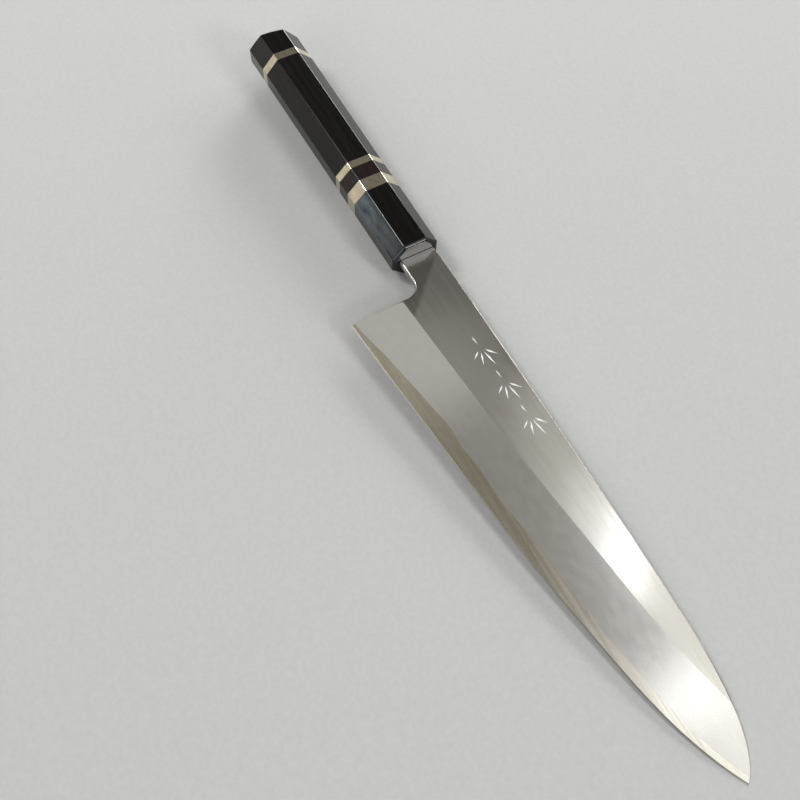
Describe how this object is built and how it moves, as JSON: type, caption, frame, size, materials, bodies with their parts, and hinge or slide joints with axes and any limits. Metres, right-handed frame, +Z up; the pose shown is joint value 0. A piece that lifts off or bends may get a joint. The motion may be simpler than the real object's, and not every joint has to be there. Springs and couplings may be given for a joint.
{
  "type": "chef knife",
  "caption": "Long pointed kitchen knife with a three-layer steel blade, ground bevels on both sides, and an octagonal dark handle with pale metal rings.",
  "frame": {"origin": "under the middle of the knife's bounding box, on the surface it lies on", "axes": "+X towards the tip, +Y towards the spine, +Z up; the knife lies on its left side, at rest on the ferrule's front corner and the tip"},
  "size_m": [0.3938, 0.0542, 0.0257],
  "materials": {
    "core_steel": "satin, whetstone-ground, brighter along the edge",
    "cladding_iron": "fine lengthwise satin on the flat face, misty stone finish on the bevel",
    "seal_resin": "dark resin, smooth",
    "horn": "polished black horn with faint streaks",
    "nickel_silver": "satin, warm white metal, lightly scratched round the handle",
    "rosewood": "oiled dark reddish-brown wood",
    "ebony": "oiled near-black wood, faint grain along the handle",
    "dowel_wood": "plain pale hardwood, hidden"
  },
  "bodies": {
    "root": {"blade_core_steel": "core_steel", "blade_cladding_right": "cladding_iron", "blade_cladding_left": "cladding_iron", "tang_seal": "seal_resin", "ferrule": "horn", "wide_ring": "nickel_silver", "accent_band": "rosewood", "thin_ring": "nickel_silver", "handle_body": "ebony", "butt_ring": "nickel_silver", "butt_cap": "horn", "core_dowel": "dowel_wood", "butt_dowel": "dowel_wood"}
  },
  "joints": []
}
